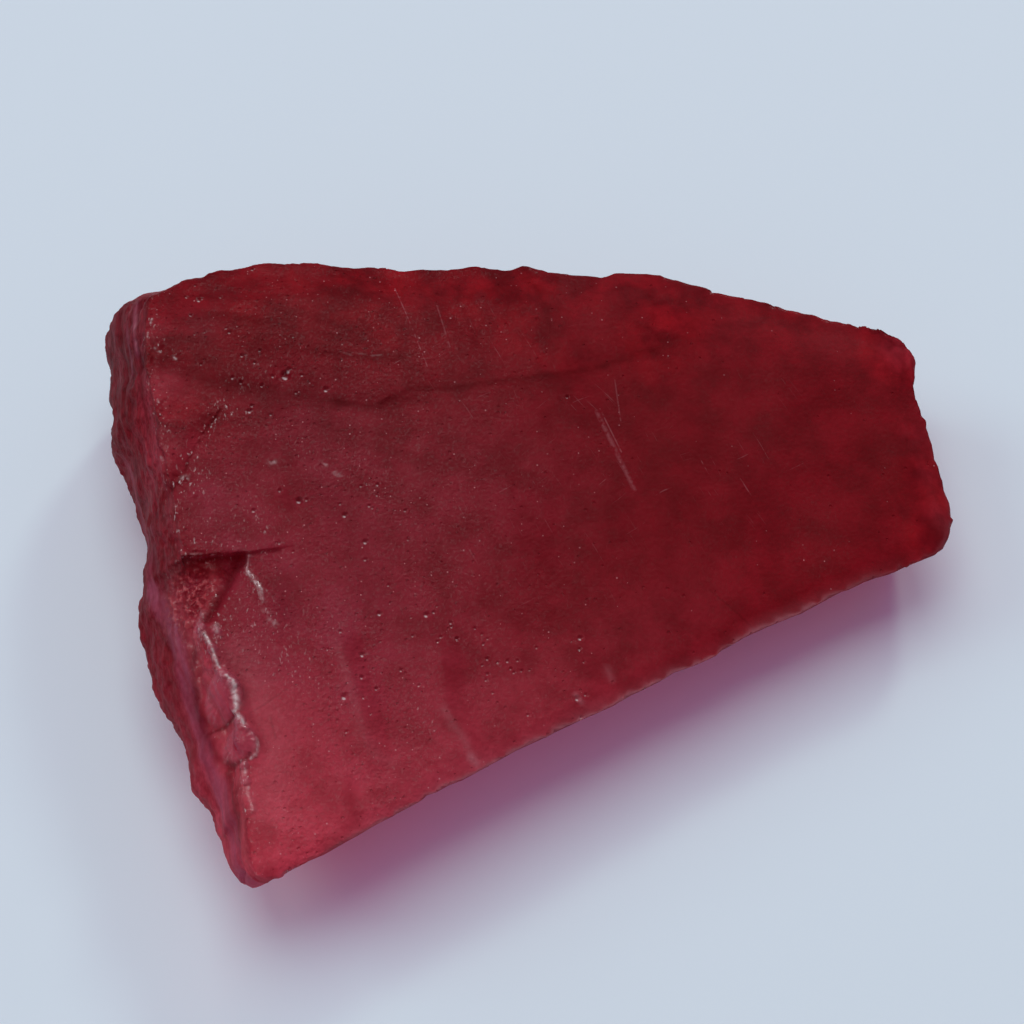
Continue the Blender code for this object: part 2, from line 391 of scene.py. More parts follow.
def new_group(name: str, output: str, **inputs: object) -> tuple[Nodes, object, Callable]:
    """Makes an empty node group with one value as its output.

    Args:
        name: The group's name.
        output: The output's name.
        **inputs: The default value of each input, by its name. A tuple makes a vector.

    Returns:
        The group's nodes, its input sockets by name, and a function that links the output.
    """
    tree = bpy.data.node_groups.new(name, "ShaderNodeTree")
    for label, value in inputs.items():
        kind = "NodeSocketVector" if isinstance(value, tuple) else "NodeSocketFloat"
        tree.interface.new_socket(label, in_out="INPUT", socket_type=kind).default_value = value
    tree.interface.new_socket(output, in_out="OUTPUT", socket_type="NodeSocketFloat")
    given = tree.nodes.new("NodeGroupInput")
    result = tree.nodes.new("NodeGroupOutput")
    return Nodes(tree), given.outputs, lambda socket: tree.links.new(socket, result.inputs[output])


def scratch_group() -> bpy.types.NodeTree:
    """Builds the mask of one fine scratch: a straight line across the face.

    Returns:
        The node group. It takes the place, the scratch's two ends and its width.
    """
    nodes, given, give = new_group(
        "fine_scratch", "Mask", Place=ORIGIN, Start=ORIGIN, End=(0.01, 0.0, 0.0), Width=0.0001)
    flat = nodes.vector("MULTIPLY", given["Place"], (1.0, 1.0, 0.0))
    reach = nodes.vector("SUBTRACT", flat.outputs[0], given["Start"]).outputs[0]
    line = nodes.vector("SUBTRACT", given["End"], given["Start"]).outputs[0]
    along = nodes.vector("DOT_PRODUCT", reach, line).outputs["Value"]
    whole = nodes.vector("DOT_PRODUCT", line, line).outputs["Value"]
    share = nodes.math("DIVIDE", along, whole, clamp=True)
    nearest = nodes.add("VectorMath", {0: line, "Scale": share}, operation="SCALE")
    gap = nodes.vector("DISTANCE", reach, nearest.outputs[0]).outputs["Value"]
    give(nodes.math("SUBTRACT", 1.0, nodes.math("DIVIDE", gap, given["Width"]), clamp=True))
    return nodes.tree


def grain_group() -> bpy.types.NodeTree:
    """Builds the height of the waxy, finely pitted surface.

    Returns:
        The node group. It takes the place, how pitted and how layered the surface is there.
    """
    nodes, given, give = new_group("waxy_grain", "Height", Place=ORIGIN, Pitted=0.0, Layered=0.0)
    along = nodes.math("MULTIPLY_ADD", given["Layered"], -0.88, 1.0)
    drawn = nodes.add("CombineXYZ", {0: 1.0, 1: along, 2: 1.0}).outputs[0]
    peel = nodes.noise(nodes.vector("MULTIPLY", given["Place"], drawn).outputs[0], 0.24, 1.0)
    away, tone = nodes.cells(given["Place"], 0.46)
    reach = nodes.math("MULTIPLY_ADD", tone.outputs[1], 0.24, 0.08)
    pit = nodes.math("SUBTRACT", 1.0, nodes.between(away, 0.02, reach))
    limit = nodes.math("MULTIPLY", given["Pitted"], 0.34)
    pits = nodes.math("MULTIPLY", pit, nodes.math("LESS_THAN", tone.outputs[0], limit))
    share = nodes.math("MAXIMUM", nodes.math("MULTIPLY_ADD", given["Pitted"], 1.1, 0.30),
                      nodes.math("MULTIPLY", given["Layered"], 0.9))
    give(nodes.math("MULTIPLY_ADD", pits, -0.9, nodes.math("MULTIPLY", peel, share)))
    return nodes.tree


def speck_group() -> bpy.types.NodeTree:
    """Builds the mask of tiny pale specks and chips.

    Returns:
        The node group. It takes the place and how many specks there are, from 0 to 1.
    """
    nodes, given, give = new_group("pale_specks", "Mask", Place=ORIGIN, Amount=0.5)
    away, tone = nodes.cells(given["Place"], 0.30)
    size = nodes.math("MULTIPLY_ADD", tone.outputs[2], 0.17, 0.07)
    dot = nodes.math("SUBTRACT", 1.0, nodes.between(away, 0.03, size))
    few = nodes.math("LESS_THAN", tone.outputs[0], nodes.math("MULTIPLY", given["Amount"], 0.10))
    faint = nodes.math("MULTIPLY_ADD", tone.outputs[1], 0.90, 0.12)
    give(nodes.math("MULTIPLY", nodes.math("MULTIPLY", dot, few), faint))
    return nodes.tree


def scuff_group() -> bpy.types.NodeTree:
    """Builds the mask of many fine scratches that run in two directions.

    Returns:
        The node group. It takes the place and how scuffed the surface is, from 0 to 1.
    """
    nodes, given, give = new_group("fine_scuffs", "Mask", Place=ORIGIN, Amount=0.0)
    masks = []
    bent = nodes.noise(given["Place"], 5.0, 0.0, "2D")
    for turn, limit in ((60.0, 0.80), (-35.0, 0.86)):
        angle = nodes.math("MULTIPLY_ADD", bent, 0.2, math.radians(turn) - 0.1)
        turned = nodes.add("VectorRotate", {"Vector": given["Place"], "Angle": angle},
                           rotation_type="Z_AXIS")
        drawn = nodes.vector("MULTIPLY", turned.outputs[0], (0.045, 1.0, 1.0))
        masks.append(nodes.between(nodes.noise(drawn.outputs[0], 0.12, 0.0, "2D"), limit, 0.95))
    give(nodes.math("MULTIPLY", nodes.math("MAXIMUM", *masks), given["Amount"]))
    return nodes.tree


@dataclass
class RubySkin:
    """The material that dresses the stone. Scratches and cracks are in millimetres."""

    finish: RubyFinish = RubyFinish()
    scratches: tuple[tuple[Spot, Spot, float, float], ...] = (
        ((-7.5, 17.2), (-5.5, 11.9), 0.05, 0.45), ((4.4, 9.7), (6.5, 4.7), 0.17, 0.30),
        ((4.6, 9.9), (5.8, 7.1), 0.06, 0.35), ((5.5, 11.9), (5.8, 9.2), 0.06, 0.25),
        ((-5.0, 16.1), (-4.2, 13.3), 0.06, 0.30))
    cracks: tuple[tuple[Spot, Spot, float, float], ...] = (
        ((10.7, -1.4), (13.2, -3.6), 0.12, 0.40), ((-14.7, -10.4), (-12.9, -8.9), 0.10, 0.40),
        ((-13.7, -10.7), (-13.4, -11.8), 0.12, 0.40))
    groups: dict[str, bpy.types.NodeTree] = field(init=False)
    nodes: Nodes = field(init=False)
    place: Socket = field(init=False)
    marks: dict[Mark, Socket] = field(init=False)

    def build(self) -> bpy.types.Material:
        """Makes the material.

        Returns:
            The finished material.
        """
        finish = self.finish
        material = bpy.data.materials.new("ruby")
        material.use_nodes = True
        material.node_tree.nodes.clear()
        self.groups = {"scratch": scratch_group(), "grain": grain_group(), "specks": speck_group(),
                       "scuffs": scuff_group()}
        nodes = self.nodes = Nodes(material.node_tree)
        self.place = nodes.add("TexCoord").outputs["Object"]
        self.marks = {m: nodes.add("Attribute", attribute_name=m.value).outputs["Fac"] for m in Mark}
        shader = nodes.add("BsdfPrincipled", {
            "Base Color": self.colour(),
            "Roughness": self.gloss(),
            "IOR": finish.refraction,
            "Transmission Weight": finish.clarity,
            "Specular IOR Level": 0.0,
            "Specular Tint": (*finish.gloss_tint, 1.0),
            "Coat Weight": self.coat(),
            "Coat Roughness": finish.wet_roughness,
            "Normal": self.relief(),
        })
        clear = nodes.add("BsdfTransparent", {"Color": (*finish.shadow_tint, 1.0)})
        is_shadow = nodes.add("LightPath").outputs["Is Shadow Ray"]
        surface = nodes.add("MixShader", {0: is_shadow, 1: shader.outputs[0], 2: clear.outputs[0]})
        depth = nodes.add("VolumeAbsorption", {"Color": (*finish.depth_colour, 1.0),
                                               "Density": finish.depth_density})
        nodes.add("OutputMaterial", {"Surface": surface.outputs[0], "Volume": depth.outputs[0]})
        return material

    def colour(self) -> Socket:
        """Lays the reds over each other: clouds, a painted glow of light through thin parts, a painted
        sheen, painted shade, scratches, specks and painted highlights.

        Returns:
            The colour's socket.
        """
        finish, nodes, place, marks = self.finish, self.nodes, self.place, self.marks
        mottle = nodes.between(nodes.noise(place, 2.0, 2.0), 0.30, 0.70)
        colour = nodes.blend(mottle, finish.deep, finish.light)
        share = nodes.math("MULTIPLY_ADD", mottle, 0.6, 0.5)
        # The clear areas get a painted glow, where light would shine through the thin back and end, over
        # the stone's own mottling.
        colour = nodes.blend(nodes.math("MULTIPLY", marks[Mark.CLEAR], mottle), colour, finish.clear)
        # A painted glow of light through thin parts, and a painted sheen.
        for mark, tint in ((Mark.GLOW, finish.glow_red), (Mark.VEIL, finish.painted_sheen_tint)):
            colour = nodes.blend(nodes.math("MULTIPLY", marks[mark], share, clamp=True), colour, tint)
        # A painted purplish sheen on the broken side and the beads.
        colour = nodes.blend(marks[Mark.MAUVE], colour, finish.mauve)
        colour = nodes.blend(marks[Mark.CRUMB], colour, finish.crumb)
        # Painted shade; the cracks are real and take its dark colour too.
        colour = nodes.blend(self.with_lines(marks[Mark.SHADE], self.cracks), colour, finish.shade,
                             "MULTIPLY")
        worn = self.part("scuffs", Amount=marks[Mark.SCUFFED])
        worn = self.with_lines(worn, self.scratches)
        grain = nodes.noise(place, 0.30, 1.0)
        colour = nodes.blend(nodes.between(grain, 0.35, 0.70), colour, finish.grain, "MULTIPLY")
        drawn = nodes.vector("MULTIPLY", place, (1.0, 0.10, 1.0))
        fibres = nodes.between(nodes.noise(drawn.outputs[0], 0.11, 1.0), 0.60, 0.38)
        fibres = nodes.math("MULTIPLY", fibres, marks[Mark.LAYERED])
        colour = nodes.blend(fibres, colour, finish.fibre, "MULTIPLY")
        broken = nodes.between(grain, 0.30, 0.62)
        colour = nodes.blend(nodes.math("MULTIPLY", worn, broken), colour, finish.scuff)
        # Painted highlights on the edges, crests and swells, sheen lines on the broken side, and a little
        # wear.
        colour = nodes.blend(nodes.math("MULTIPLY", marks[Mark.RIM], 0.7), colour, finish.scuff)
        colour = nodes.blend(self.part("specks", Amount=marks[Mark.PITTED]), colour, finish.speck)
        slant = nodes.vector("MULTIPLY", place, (1.25, 0.6, 1.0))
        ticks = nodes.between(nodes.noise(slant.outputs[0], 0.19, 1.0), 0.62, 0.80)
        ticks = nodes.math("MULTIPLY", ticks, marks[Mark.SPARKLE])
        return nodes.blend(nodes.math("MAXIMUM", marks[Mark.GLINT], ticks), colour, finish.glint)

    def part(self, group: str, **inputs: object) -> Socket:
        """Places one of the node groups where the surface is, and returns its mask or height."""
        inputs["Place"] = self.place
        return self.nodes.add("Group", inputs, node_tree=self.groups[group]).outputs[0]

    def with_lines(self, mask: object, lines: tuple) -> Socket:
        """Adds straight lines to a mask.

        Args:
            mask: The mask's socket.
            lines: Each line's two ends, half its width and its strength.

        Returns:
            The socket of the mask with the lines.
        """
        for *ends, width, strength in lines:
            start, end = ((x * MM, y * MM, 0.0) for x, y in ends)
            line = self.part("scratch", Start=start, End=end, Width=width * MM)
            mask = self.nodes.math("MAXIMUM", mask, self.nodes.math("MULTIPLY", line, strength))
        return mask

    def gloss(self) -> Socket:
        """Makes the clear, mottled areas duller than the waxy rest, by their roughness."""
        clear = self.marks[Mark.CLEAR]
        return self.nodes.math("MULTIPLY_ADD", clear, 0.28, self.finish.roughness, clamp=True)

    def coat(self) -> Socket:
        """Lays a thin wet film over the stone, broken up by a fine grain.

        Returns:
            The socket of the film's strength.
        """
        grain = self.nodes.between(self.nodes.noise(self.place, 0.15, 1.0), 0.48, 0.72)
        share = self.nodes.math("MULTIPLY_ADD", grain, 2.4, 0.55)
        gloss = self.marks[Mark.GLOSS]
        return self.nodes.math("MULTIPLY_ADD", gloss, share, self.finish.film, clamp=True)

    def relief(self) -> Socket:
        """Adds the grain that is finer than the mesh.

        Returns:
            The normal's socket.
        """
        height = self.part("grain", Pitted=self.marks[Mark.PITTED], Layered=self.marks[Mark.LAYERED])
        inputs = {"Height": height, "Strength": self.finish.grain_strength,
                  "Distance": self.finish.grain_depth}
        return self.nodes.add("Bump", inputs).outputs["Normal"]


# Lines on the worn face that several kinds of marks follow, in millimetres.
NOTCH_LINE = ((-15.7, -1.2), (-16.3, -2.1), (-16.7, -3), (-17.1, -4.1), (-17.4, -5))
BEAD_LINE = ((-17, -6), (-16.5, -6.8), (-16, -7.7), (-15.3, -8.7), (-14.9, -9.8), (-14.7, -10.7),
             (-14.2, -11.6), (-13.9, -12.6))
PALE_LINE = ((-10.2, -6.2), (-9.6, -8.1), (-9.1, -9.9), (-8.5, -11.6), (-7.8, -12.5))
BACK_LINE = ((-4.2, 11.2), (1.4, 10.9), (3.7, 12.3), (5.8, 13.4), (10.6, 15.1))


@dataclass
class RoughRuby:
    """The stone, carved from a copy of the solid. Sizes are in millimetres and angles in degrees."""

    top_height: float = 8.6
    top_lean_right: float = -0.114
    top_lean_back: float = 0.11
    merge_gap: float = 0.001
    facet_turn: float = 50.0
    rounding: int = 2
    side_blend: float = 12.0
    pits: tuple[Pit, ...] = (
        Pit(-13.65, 10.8, 0.34, 0.24, 0.03), Pit(-13.5, 11.15, 0.2, 0.12), Pit(-11.3, 10.1, 0.22, 0.14),
        Pit(-12.6, 2.7, 0.24, 0.18), Pit(-10, 1.9), Pit(-8.8, 0.3), Pit(-13.7, 3.2, 0.15),
        Pit(-15.1, 1.8, 0.18), Pit(-15, 10, 0.14), Pit(-16.2, 10.1, 0.14), Pit(-15.5, 8.6, 0.16),
        Pit(-15.6, 8.2, 0.2), Pit(-18.9, 15.6, 0.2), Pit(-19.3, 14.4, 0.16), Pit(-7.9, -4.1),
        Pit(-5.3, -4, 0.22), Pit(-3.9, -4.6, 0.14), Pit(-3.6, -5.3, 0.14), Pit(-2.6, -4.6, 0.12),
        Pit(-1.9, -6.4, 0.14), Pit(-1.9, -7.3, 0.12), Pit(-0.6, -6.9, 0.12), Pit(0, -7, 0.12),
        Pit(-8.8, -6.6), Pit(-9.7, -9.2, 0.26, 0.16), Pit(-8.8, -8, 0.16), Pit(-8, -8.6, 0.14),
        Pit(3.3, -4.8), Pit(3.1, -8.5, 0.2), Pit(2.7, 10.5, 0.14), Pit(-16.2, 11.8, 0.16),
        Pit(-15.2, 12.2, 0.14), Pit(-8.2, 4, 0.16), Pit(-6.6, 2.4, 0.14))
    small_pits: int = 70
    pit_seed: int = 7
    left_rim: tuple[Spot, ...] = (
        (-21.9, 14.6), (-21.5, 12), (-21.2, 9.7), (-20.8, 7.2), (-20.4, 5.2), (-19.9, 3.5), (-19.4, 1),
        (-19, -1.2))
    low_rim: tuple[Spot, ...] = (
        (-19.8, -1.7), (-19.6, -3.6), (-18.6, -5.4), (-17.6, -8), (-16.2, -10.6), (-15.4, -13),
        (-14.8, -16), (-14.2, -19.2))
    front_rim: tuple[Spot, ...] = ((-13.8, -19.9), (2.1, -10.2), (24.6, 2.7))
    ledge: tuple[Spot, ...] = ((-19.2, -1.2), (-18, -1), (-17.2, -0.9), (-15.2, -0.8), (-12.5, -0.1))
    ledge_heights: tuple[float, ...] = (0.14, 0.14, 0.13, 0.07, 0)
    grooves: tuple[Trace, ...] = traces(
        (0.3, -0.2, *NOTCH_LINE), (0.28, -0.08, *BEAD_LINE),
        (0.22, -0.06, (-19.7, -1.4), (-18.6, -1.5), (-17.5, -1.4), (-16.5, -1.3), (-15.7, -1.1)))
    crests: tuple[Trace, ...] = traces(
        (0.22, 0.18, (-17.7, -4.4), (-17.8, -5.3), (-17.6, -6), (-17.1, -6.7), (-16.9, -7.3),
         (-16.7, -8), (-16.3, -8.5), (-15.8, -8.9), (-15.5, -9.3), (-15.4, -10.1), (-15.5, -10.6)),
        (0.2, 0.2, (-15.3, -11.2), (-15.1, -11.5)),
        (0.14, 0.12, (-14.9, -11.6), (-14.5, -12.1), (-14.4, -12.5), (-14.5, -12.9)),
        (0.2, 0.07, (-15, -13.3), (-15, -13.7), (-14.9, -14.3), (-14.7, -15.2), (-14.4, -16)),
        (0.18, 0.12, (-17, -5.4), (-16.7, -6.1)),
        (0.13, 0.08, (-15.3, -1), (-15.4, -1.8), (-15.1, -2.2), (-14.8, -2.6), (-14.6, -3.1),
         (-14.4, -3.7)))
    glints: tuple[Trace, ...] = traces(
        (0.07, 0.95, (-17.8, -5.7), (-17.3, -6.3), (-17, -7), (-16.7, -7.8), (-16.3, -8.5),
         (-15.8, -8.9), (-15.6, -9.2)),
        (0.15, 1, (-15.8, -9.1), (-15.65, -9.6), (-15.55, -9.9), (-15.6, -10.5)),
        (0.15, 1, (-15.6, -10.8), (-15.3, -11), (-15.1, -11.3)),
        (0.07, 0.9, (-14.6, -11.8), (-14.4, -12), (-14.3, -12.4), (-14.4, -12.9), (-14.7, -13.1)),
        (0.07, 0.5, (-15, -13.4), (-14.9, -13.9)), (0.06, 0.5, (-14.8, -14.5), (-14.7, -14.8)),
        (0.07, 0.6, (-15.4, -1.7), (-15.1, -2.3), (-14.5, -3), (-14.4, -3.8)),
        (0.14, 0.35, (-14.3, -4.4), (-13.6, -5.2)), (0.13, 0.6, (-16.9, -5.3), (-16.8, -5.8)),
        (0.05, 0.8, (-21.5, 14), (-21.58, 13.5)), (0.05, 0.7, (-21.66, 13), (-21.7, 12.6)),
        (0.07, 0.7, (-21.2, 11.9), (-20.9, 11.7)), (0.06, 0.7, (-20.2, 11.5), (-20, 11.3)),
        (0.05, 0.6, (-20.9, 8.5), (-20.8, 8.3)), (0.07, 0.7, (-20.5, 5), (-20.4, 4.8)),
        (0.13, 0.6, (-19.2, 3.65), (-19, 3.7)),
        (0.05, 0.22, (-18.7, -1.05), (-18, -0.95), (-17.2, -0.85)),
        (0.13, 0.55, (-14.3, 4.95), (-14.1, 5)), (0.12, 0.5, (-11.3, 5.25), (-11.15, 5.1)),
        (0.16, 0.28, (-10.7, 4.6), (-10.4, 4.3)),
        (0.05, 0.14, (-10.4, 12.5), (-9.9, 12.35), (-9.4, 12.5), (-8.7, 12.4), (-8, 12.5)))
    sparkles: tuple[Trace, ...] = traces(
        (0.5, 1, (-17, 8.2), (-16.1, 8.3)), (0.75, 1, (-19.5, 3.2), (-18.5, 3.5)),
        (0.3, 0.9, (-19.3, 5.1), (-18.7, 5)), (0.3, 1, (-21.2, 9.6), (-20.9, 8.3), (-20.4, 6.6)),
        (0.25, 0.9, (-20.5, 5.3), (-20.3, 4.8)), (0.35, 0.8, (-19.7, 2.7), (-19.3, 1.4), (-18.9, -0.8)),
        (0.45, 0.45, (-18.2, 2), (-17.4, 1.2)), (0.45, 0.5, (-18.4, -0.5), (-16, -0.4)),
        (0.28, 0.8, (-21.5, 13.9), (-21.7, 12.4), (-20.9, 11.7)), (0.55, 0.5, (-20.8, 12), (-20, 11.3)),
        (0.42, 0.8, (-17.3, 8.2), (-18, 6.8), (-18.9, 5.2)),
        (0.4, 0.4, (-15.4, -1.7), (-14.9, -2.6), (-14.4, -3.8), (-13.6, -5.2)),
        (0.55, 0.7, (-16.9, -5), (-16.6, -6.2)), (0.3, 0.9, (-15, -13.4), (-14.8, -16.4)),
        (0.3, 0.5, (-17.7, -6), (-16.4, -8.6)), (0.5, 0.25, (-12.9, 6), (-12.2, 5.6)),
        (0.7, 0.25, (-10.6, -8.8), (-9.6, -9.4)), (0.5, 0.3, (-9.2, 4.6), (-8.8, 4.2)),
        (1.5, 0.38, (-15.6, -4.2), (-13.9, -6.4), (-12.6, -7.6)), (0.7, 0.3, (-5.9, -9.6), (-5.2, -10.4)),
        (0.9, 0.38, (-15.2, 1), (-14.4, 0.2)), (0.8, 0.3, (-16, 3), (-15.6, 2)),
        (0.8, 0.18, (-11.4, -4), (-10.6, -5)), (0.8, 0.22, (-16.6, 9.9), (-14.2, 11.6)))
    # Painted highlights and sheen lines on the worn face.
    pale: tuple[Trace, ...] = traces(
        (0.32, 0.15, *PALE_LINE, (-7.1, -12.9)),
        (0.22, 0.26, (-4.3, -9.6), (-3.7, -10.6), (-3.1, -11.4), (-2.8, -12.2)),
        (1.2, 0.2, (-15.9, -7), (-14.4, -9.8), (-13.6, -12), (-13.4, -16)),
        (0.22, 0.6, (-2.8, -12.3), (-2.5, -12.6)), (0.16, 0.5, (3, -8.3), (3.3, -8.7)),
        (0.2, 0.3, (4.8, -6.7), (5, -7.2)))
    salmon: Trace = Trace(((-17.3, -1.7), (-17.3, -2.7), (-17.6, -4.5)), 0.26, 0.12)
    beads: tuple[Bead, ...] = (
        Bead(-16.3, -9.5, 1.1, 0.32, 1.25), Bead(-15.3, -12.2, 1, 0.3), Bead(-15.35, -11, 0.36, 0.14),
        Bead(-15.75, -8.95, 0.34, 0.14), Bead(-17, -6.9, 0.32, 0.12), Bead(-17.7, -5.6, 0.3, 0.12),
        Bead(-16.85, -5.75, 0.3, 0.12), Bead(-15, -13.5, 0.26, 0.1), Bead(-14.85, -14.4, 0.28, 0.08))
    swells: tuple[Trace, ...] = traces(
        (0.5, 0.04, *PALE_LINE), (0.4, 0.04, (-4.5, -6.7), (-4.3, -9.6), (-3.7, -10.6), (-3.1, -11.4)),
        (0.7, 0.06, (-8.7, -13.3), (-9.3, -13.6), (-10.1, -15.2)),
        (0.9, -0.05, (-21.6, 11.3), (-18.3, 10.2), (-15, 9.7), (-12.2, 9.4), (-6.8, 9.4)),
        (0.7, -0.02, *BACK_LINE))
    recess: tuple[Patch, ...] = patches((-18.5, -2.7, 1.7), (-18.8, -4.2, 1.3))
    rubble: tuple[Patch, ...] = patches(
        (-19.4, 3.4, 1.2), (-18.8, 2.9, 0.9), (-18.2, 6.6, 0.6), (-20.6, 8, 0.8), (-20.9, 11.8, 0.9))
    diagonal: Trace = Trace(
        ((-17.3, 8.2), (-17.7, 7.5), (-18.2, 6.5), (-18.8, 5.2), (-19.1, 4.2), (-19.5, 3.3), (-19.9, 2.9)),
         0.1, -0.05)
    shades: tuple[Trace, ...] = traces(
        (0.5, 0.38, (-21.6, 11.3), (-20.3, 10.9), (-18.3, 10.2), (-16.3, 9.9), (-15, 9.7), (-12.8, 9.5),
         (-10.6, 9.3)),
        (0.36, 0.38, (-10.6, 9.3), (-8.5, 9.2), (-6.5, 9.7)),
        (1.3, 0.11, (-21, 11.2), (-15, 10), (-6.8, 9.6), (-4.2, 10)),
        (0.5, 0.35, (-19.9, 13.7), (-18.8, 14.3), (-17.3, 14.3), (-15.6, 14.1)),
        (0.35, 0.3, (-20.4, 12.6), (-18.7, 12.8), (-15.2, 12.5), (-11.2, 12.3), (-7.1, 12.4)),
        (0.2, 0.45, (-8.2, 9.4), (-6.5, 10.4), (-3.9, 10.6), (-1.3, 11.2), (2.3, 12), (4.6, 12.7),
         (7.6, 14)),
        (0.8, 0.15, *BACK_LINE), (0.2, 0.35, (0.8, 18.2), (1.4, 16.6), (1.8, 14.9)),
        (3.8, 0.21, (6.8, 9), (6.8, -1)), (1.7, 0.3, (20.6, 7.6), (21.4, 5.6)),
        (1.3, 0.22, (-11.4, 3.4), (-9.2, 0.2), (-8.6, -3)),
        (0.12, 0.7, (-19, -1.3), (-17.2, -1.05), (-15.2, -0.9), (-13.6, -0.5)),
        (0.35, 0.75, (-19.7, -1.5), (-17.5, -1.5), (-15.6, -1.1)), (0.34, 0.75, *NOTCH_LINE),
        (0.3, 0.25, *BEAD_LINE), (1, 0.35, (-13.4, -2.6), (-13.2, -4.2)),
        (0.1, 0.7, (-17.2, -11), (-16.3, -10.95), (-15.7, -10.75)),
        (0.1, 0.7, (-16, -12.9), (-15.4, -13.3), (-14.9, -13.2)),
        (0.3, 0.85, (-18.1, -6.6, 8.3), (-17.9, -9, 7.5), (-17.4, -10.7, 7.1), (-16.7, -12.3, 7.1),
         (-15.9, -13.7, 7.5), (-15.6, -14.8, 7.6), (-15.3, -16, 7.6), (-14.9, -17.4, 7.3),
         (-14.6, -18.8, 7)))
    corners: tuple[Patch, ...] = patches(
        (22.6, 15.4, 2.4, 0.3), (-15.4, -18.8, 2.2, 0.52), (-12.7, -19.5, 1.5, -0.35),
        (-18.9, -12.6, 1.1, -0.35), (-23.2, 16.2, 2.2, 0.32), (25, 2.9, 0.9, -0.12))
    smooth_tip: Patch = Patch(-14.8, -18.9, 3, 1.5)
    # Smooth bands of the broken side, which carry a painted purplish sheen.
    sheen_strips: tuple[Trace, ...] = traces(
        (0.42, 0.35, (-21.4, 1.6, 8.3), (-21.1, -0.1, 7.8), (-20.9, -1.7, 7.1)),
        (0.62, 0.9, (-20.9, -1.7, 7.1), (-20.3, -3.1, 7.5), (-19.5, -4.9, 7.9), (-19, -6.3, 7.8),
         (-18.6, -7.7, 7.5), (-18.4, -8.8, 7.1), (-17.9, -10.4, 6.9), (-17.4, -11.9, 6.8)),
        (0.6, 0.8, (-17.4, -11.9, 6.8), (-16.9, -13, 6.6), (-16.2, -14.3, 6.6)),
        (0.85, 0.95, (-16.2, -14.3, 6.6), (-15.6, -16, 6.6), (-15.2, -17.1, 6.3), (-14.9, -18.1, 6),
         (-14.8, -18.4, 4.6)),
        (0.24, 0.55, (-22.7, 16, 11), (-22.6, 14.2, 11), (-22.3, 12.1, 10.9)),
        (0.18, 0.5, (-23.3, 16.1, 9.9), (-23, 13.4, 10.6), (-22.7, 11.2, 10)),
        (0.4, 0.5, (-23.1, 8, 6.4), (-22.3, 5, 6.2), (-21.8, 3.4, 5.6), (-21.2, 1.8, 6)))
    # Thin painted sheen lines along the layers of the broken side.
    sheen_threads: tuple[Trace, ...] = traces(
        (0.1, 1, (-22.75, 16.2, 11.2), (-22.65, 14.2, 11.2), (-22.35, 12.4, 10.9)),
        (0.09, 0.8, (-23, 15.8, 10.6), (-22.85, 14, 10.8), (-22.6, 12, 10.4)),
        (0.08, 0.5, (-23.4, 15.6, 9.6), (-23.2, 13.2, 9.8), (-22.9, 10.4, 9.2), (-22.7, 7.6, 8)),
        (0.09, 0.5, (-23.2, 8.4, 6.6), (-22.3, 5, 6.3), (-21.5, 2.6, 6)),
        (0.1, 0.3, (-21.2, 0.6, 8.2), (-20.8, -1.9, 7.4), (-19.4, -5, 8), (-18.5, -8.6, 7.3),
         (-17.3, -12, 6.9), (-15.7, -16, 6.8), (-14.9, -18.2, 6.2)))
    coral: Trace = Trace(
        ((-19.6, -2.9, 8.2), (-18.8, -4, 8.6), (-18, -6, 8.9), (-17.8, -7.3, 8.4), (-17.3, -8.8, 8.3),
         (-16.9, -10, 7.6), (-16.4, -11.5, 7.5), (-16.1, -12.5, 7.3)), 0.7)
    # Painted glow, where light would shine through thin parts of the stone.
    glows: tuple[Patch, ...] = patches(
        (-14, -10.4, 2.8, 0.75), (-13.9, -16, 2.8, 0.9), (-17.9, -5.6, 1, 0.6),
        (-21.2, 8.6, 1.3, 0.28), (-20.8, 5, 1.3, 0.28), (22.8, 15.4, 1.6, 0.3), (23.2, 9.6, 0.9, 0.12),
        (23.6, 6.9, 0.9, 0.12), (24.3, 4.4, 0.9, 0.15), (-13.6, -18, 4, 0.7), (-12.8, -13, 4.5, 0.55),
        (-16.5, -9.6, 1.6, 0.6), (-15.4, -12.2, 1.3, 0.6), (-9.5, -10, 6.5, 0.45),
        (-13.1, -16, 1.5, 0.3), (-13.8, -8, 4, 0.3), (-17.4, -7.8, 2, 0.3),
        (-16, -12.8, 2.4, 0.4), (-20.4, 9.5, 1.8, 0.35), (-19.2, 6, 1.6, 0.3), (-18.8, 13.6, 1.6, 0.2),
        (-20.8, 6.2, 1.4, 0.4), (-21.4, 13, 1.2, 0.35), (-18.3, -3.8, 1.6, 0.35))
    # Clearer red at the back, the end and the left rim, brightened as painted light shining through these
    # thin parts.
    clear_glows: tuple[Patch, ...] = patches(
        (22.6, 15.4, 2.4, 1.8), (23.6, 6, 2.5, 0.6), (16, 16.6, 3, 0.25), (8, 16.5, 3.5, 0.7),
        (-1, 17, 4, 0.6), (-9, 16.5, 4.5, 0.6), (-17, 15.5, 3, 0.4), (23.5, 2, 2, 0.8),
        (22.8, 9.6, 1.2, 0.9), (23.4, 6.9, 1.2, 0.9), (24.2, 4.4, 1.1, 0.9), (-20.5, 8, 2.5, 0.9),
        (-21, 13, 1.5, 0.6), (1.3, 13.2, 2.5, 0.45), (7.8, 13.2, 2.5, 0.55))
